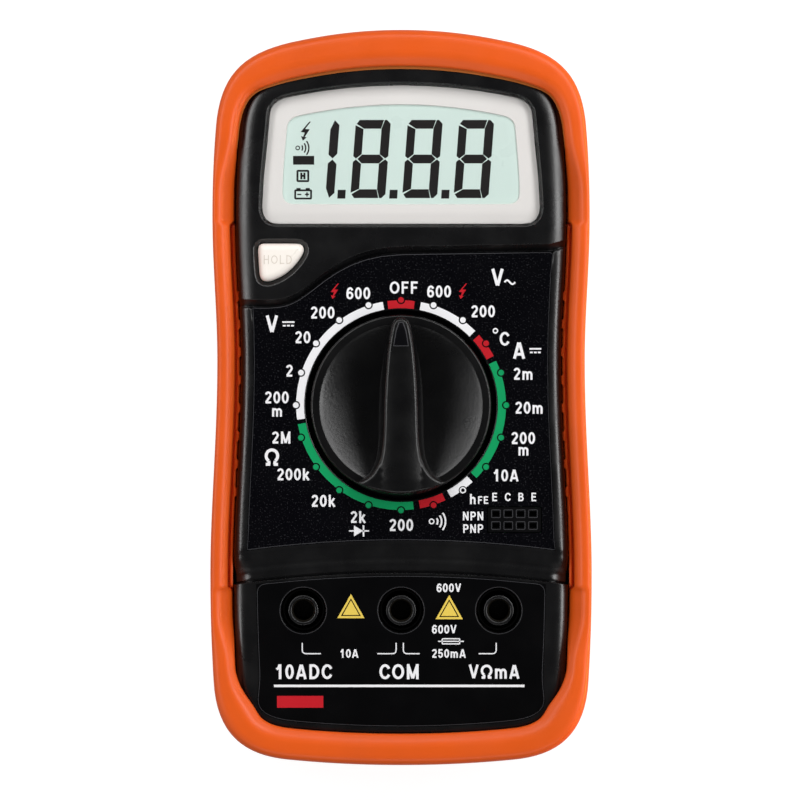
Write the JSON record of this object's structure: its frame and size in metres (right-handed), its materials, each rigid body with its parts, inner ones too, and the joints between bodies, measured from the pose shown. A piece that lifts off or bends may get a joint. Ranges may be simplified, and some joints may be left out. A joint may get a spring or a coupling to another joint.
{
  "type": "handheld digital multimeter",
  "caption": "Digital multimeter in a rubber holster: arched display, rotary range dial, hold button, test-lead sockets and a fold-out stand.",
  "frame": {"origin": "centre of the holster's flat back, on the face the meter lies on", "axes": "+X to the right across the face, +Y from the sockets towards the display, +Z out of the front face; the meter lies on its back, face up"},
  "size_m": [0.074, 0.1428, 0.041],
  "materials": {
    "orange_rubber": "satin",
    "orange_plastic": "satin",
    "black_case": "satin",
    "black_label": "fine speckle",
    "clear_lens": "gloss",
    "mask_paint": "gloss",
    "lcd_glass": "gloss",
    "lcd_film": "satin",
    "reflector_foil": "satin",
    "white_plastic": "matte",
    "contact_rubber": "matte",
    "black_knob": "satin",
    "ivory_plastic": "matte",
    "gold_spring": "satin",
    "plated_steel": "satin",
    "ball_steel": "polished",
    "cream_button": "satin",
    "red_plastic": "satin",
    "switch_body": "matte",
    "black_socket": "satin",
    "socket_brass": "satin",
    "green_board": "satin",
    "gold_track": "satin",
    "black_resin": "gloss",
    "fuse_tube": "gloss",
    "shunt_alloy": "satin",
    "blue_plastic": "satin",
    "resistor_body": "satin",
    "capacitor_body": "gloss",
    "capacitor_can": "satin",
    "buzzer_brass": "satin",
    "white_ceramic": "matte",
    "black_wire": "satin",
    "battery_can": "satin",
    "black_vinyl": "satin",
    "red_wire": "satin",
    "foam": "matte"
  },
  "bodies": {
    "meter": {"holster": "orange_rubber", "rear_case": "black_case", "front_case": "black_case", "dial_panel": "black_label", "jack_panel": "black_label", "display_lens": "clear_lens", "display_mask": "mask_paint", "lcd_front_glass": "lcd_glass", "lcd_rear_glass": "lcd_glass", "lcd_polariser": "lcd_film", "lcd_reflector": "reflector_foil", "lcd_frame": "white_plastic", "zebra_strip": "contact_rubber", "hold_switch": "switch_body", "transistor_socket": "black_socket", "transistor_contacts": "gold_spring", "jack_sleeve_left": "socket_brass", "jack_sleeve_centre": "socket_brass", "jack_sleeve_right": "socket_brass", "main_board": "green_board", "switch_tracks": "gold_track", "converter_chip": "black_resin", "fuse_glass": "fuse_tube", "fuse_caps": "plated_steel", "fuse_clips": "plated_steel", "shunt_wire": "shunt_alloy", "trimmer": "blue_plastic", "resistors": "resistor_body", "film_capacitors": "capacitor_body", "electrolytic_capacitor": "capacitor_can", "buzzer_disc": "buzzer_brass", "buzzer_ceramic": "white_ceramic", "buzzer_leads": "black_wire", "battery": "battery_can", "battery_studs": "plated_steel", "battery_snap": "black_vinyl", "battery_lead_red": "red_wire", "battery_lead_black": "black_wire", "battery_pad": "foam", "board_screws": "plated_steel", "case_screws": "plated_steel"},
    "stand": {"tilt_stand": "orange_plastic"},
    "dial": {"dial_knob": "black_knob", "contact_carrier": "ivory_plastic", "wiper_contacts": "gold_spring", "knob_screw": "plated_steel", "detent_springs": "plated_steel"},
    "ball_left": {"detent_ball_left": "ball_steel"},
    "ball_right": {"detent_ball_right": "ball_steel"},
    "button": {"hold_button": "cream_button"},
    "plunger": {"hold_plunger": "red_plastic"}
  },
  "joints": [
    {"name": "stand_hinge", "type": "hinge", "parent": "meter", "child": "stand", "pos_m": [0, 0.019, 0.0016], "axis": [1, 0, 0], "range_deg": [0, 60]},
    {"name": "dial_turn", "type": "hinge", "parent": "meter", "child": "dial", "pos_m": [0, -0.0015, 0.033], "axis": [0, 0, -1], "continuous": true},
    {"name": "ball_left_slide", "type": "slide", "parent": "dial", "child": "ball_left", "axis": [-1, 0, 0], "range_m": [0, 0.0005], "stiffness_N_per_m": 200, "springref_m": 0.001},
    {"name": "ball_right_slide", "type": "slide", "parent": "dial", "child": "ball_right", "axis": [1, 0, 0], "range_m": [0, 0.0005]},
    {"name": "hold_press", "type": "slide", "parent": "meter", "child": "button", "axis": [0, 0, -1], "range_m": [0, 0.0008], "stiffness_N_per_m": 1200},
    {"name": "plunger_press", "type": "slide", "parent": "meter", "child": "plunger", "axis": [0, 0, -1], "range_m": [0, 0.0008]}
  ],
  "couplings": [
    {"joint": "ball_right_slide", "follows": "ball_left_slide", "ratio": 1},
    {"joint": "plunger_press", "follows": "hold_press", "ratio": 1}
  ]
}
